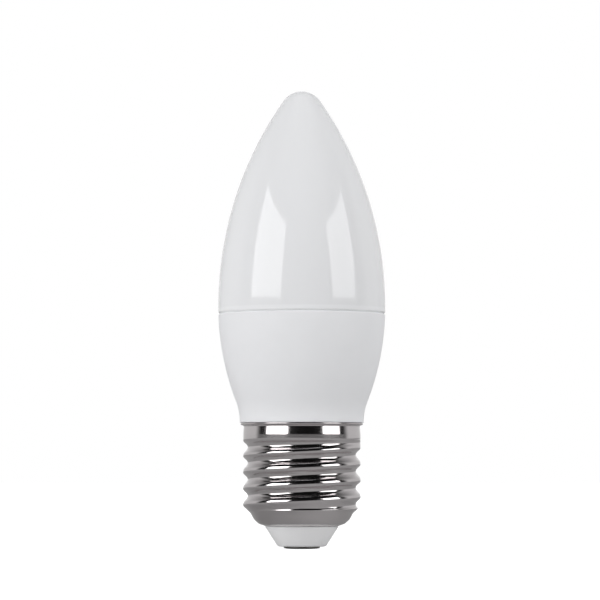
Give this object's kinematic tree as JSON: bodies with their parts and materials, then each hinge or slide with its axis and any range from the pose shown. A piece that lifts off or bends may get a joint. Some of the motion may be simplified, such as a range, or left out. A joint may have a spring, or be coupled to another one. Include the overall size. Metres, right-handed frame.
{
  "type": "candle bulb",
  "caption": "Candle-shaped LED lamp with an opal diffuser, a tapered white housing and a plated screw cap.",
  "frame": {"origin": "lowest point of the centre contact, on the lamp's axis", "axes": "+Z along the lamp's axis from the contact to the tip of the diffuser; the driver board stands in the XZ plane"},
  "size_m": [0.037, 0.037, 0.1011],
  "materials": {
    "opal_plastic": "gloss opal white",
    "housing_plastic": "satin white",
    "plated_shell": "bright nickel plate",
    "insulator_plastic": "satin pale grey-white",
    "contact_metal": "tinned, slightly dull",
    "bare_aluminium": "as pressed",
    "white_board": "white lacquer over metal",
    "light_package": "yellow resin",
    "zinc_steel": "zinc plate",
    "green_board": "green lacquer",
    "black_sleeve": "shrunk sleeve",
    "resistor_body": "grey-blue coating",
    "ferrite": "dark ferrite and varnished wire",
    "film_box": "red box",
    "black_moulding": "matt black",
    "tinned_brass": "tinned",
    "wire_sleeve": "red insulation",
    "bare_copper": "tinned copper"
  },
  "bodies": {
    "root": {"diffuser": "opal_plastic", "housing": "housing_plastic", "screw_shell": "plated_shell", "insulator": "insulator_plastic", "centre_contact": "contact_metal", "heat_sink": "bare_aluminium", "led_board": "white_board", "led_packages": "light_package", "board_screws": "zinc_steel", "driver_board": "green_board", "bulk_capacitor": "black_sleeve", "inductor": "ferrite", "film_capacitor": "film_box", "fusible_resistor": "resistor_body", "bridge_rectifier": "black_moulding", "driver_chip": "black_moulding", "flyback_diode": "black_moulding", "output_pins": "tinned_brass", "live_lead": "wire_sleeve", "neutral_lead": "bare_copper"}
  },
  "joints": []
}
